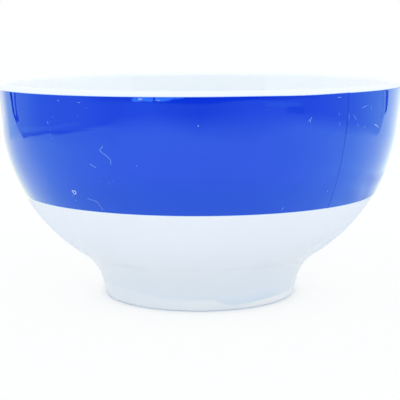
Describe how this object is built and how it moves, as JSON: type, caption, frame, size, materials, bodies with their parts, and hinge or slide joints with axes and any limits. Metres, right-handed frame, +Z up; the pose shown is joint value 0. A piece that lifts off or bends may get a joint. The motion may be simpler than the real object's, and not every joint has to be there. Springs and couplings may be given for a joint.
{
  "type": "tea bowl",
  "caption": "Round footed tea bowl of white glazed porcelain with a wide plain blue band below the lip; holds a hot drink and stands on its foot ring.",
  "frame": {"origin": "centre of the foot ring's resting face", "axes": "+Z up along the bowl's axis, from the foot to the mouth; -Y is the side seen in the picture, with the band's seam to its right, towards +X"},
  "size_m": [0.1202, 0.1202, 0.064],
  "materials": {
    "clay": "bare fired porcelain, matt, seen on the foot's resting face",
    "white_glaze": "clear glossy glaze over white clay",
    "blue_transfer": "glossy cobalt blue transfer fired on the glaze"
  },
  "bodies": {
    "root": {"bowl_body": "clay", "foot_ring": "clay", "outer_glaze": "white_glaze", "inner_glaze": "white_glaze", "base_glaze": "white_glaze", "blue_band": "blue_transfer"}
  },
  "joints": []
}
